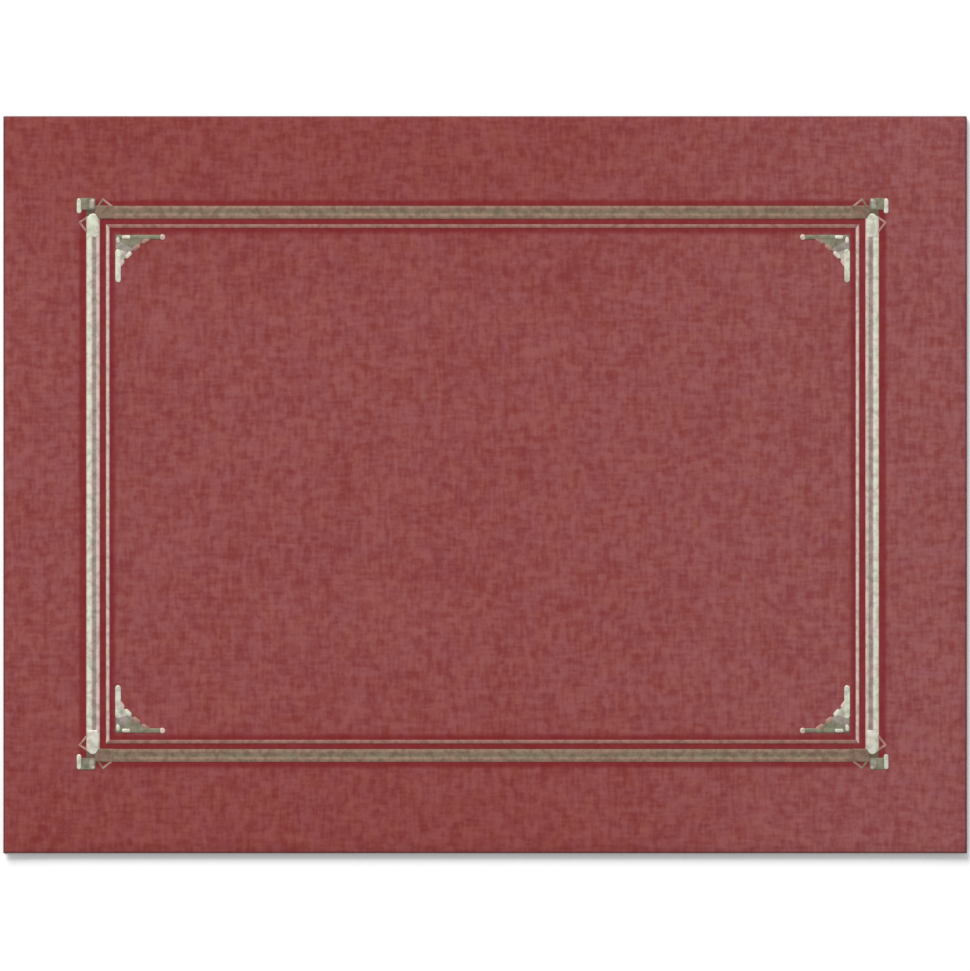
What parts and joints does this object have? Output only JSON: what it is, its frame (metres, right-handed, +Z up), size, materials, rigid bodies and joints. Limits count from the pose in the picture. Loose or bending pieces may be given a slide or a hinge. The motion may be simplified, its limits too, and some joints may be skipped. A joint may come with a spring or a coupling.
{
  "type": "document cover",
  "caption": "Closed folded card cover for a letter-size page, with a raised foil border on its front leaf and corner slits inside.",
  "frame": {"origin": "on the surface that the cover lies on, under the middle of its bounding box", "axes": "+X along the fold to the front's right, +Y from the free edges to the folded edge, +Z up out of the front leaf"},
  "size_m": [0.3174, 0.243, 0.0022],
  "materials": {
    "linen_card": "linen-embossed burgundy card with a slight metallic sheen",
    "silver_foil": "satin pale silver-gold stamping foil"
  },
  "bodies": {
    "root": {"folded_card": "linen_card", "foil_outer_frame": "silver_foil", "foil_inner_rule": "silver_foil", "foil_bracket_top_left": "silver_foil", "foil_bracket_top_right": "silver_foil", "foil_bracket_bottom_left": "silver_foil", "foil_bracket_bottom_right": "silver_foil"}
  },
  "joints": []
}
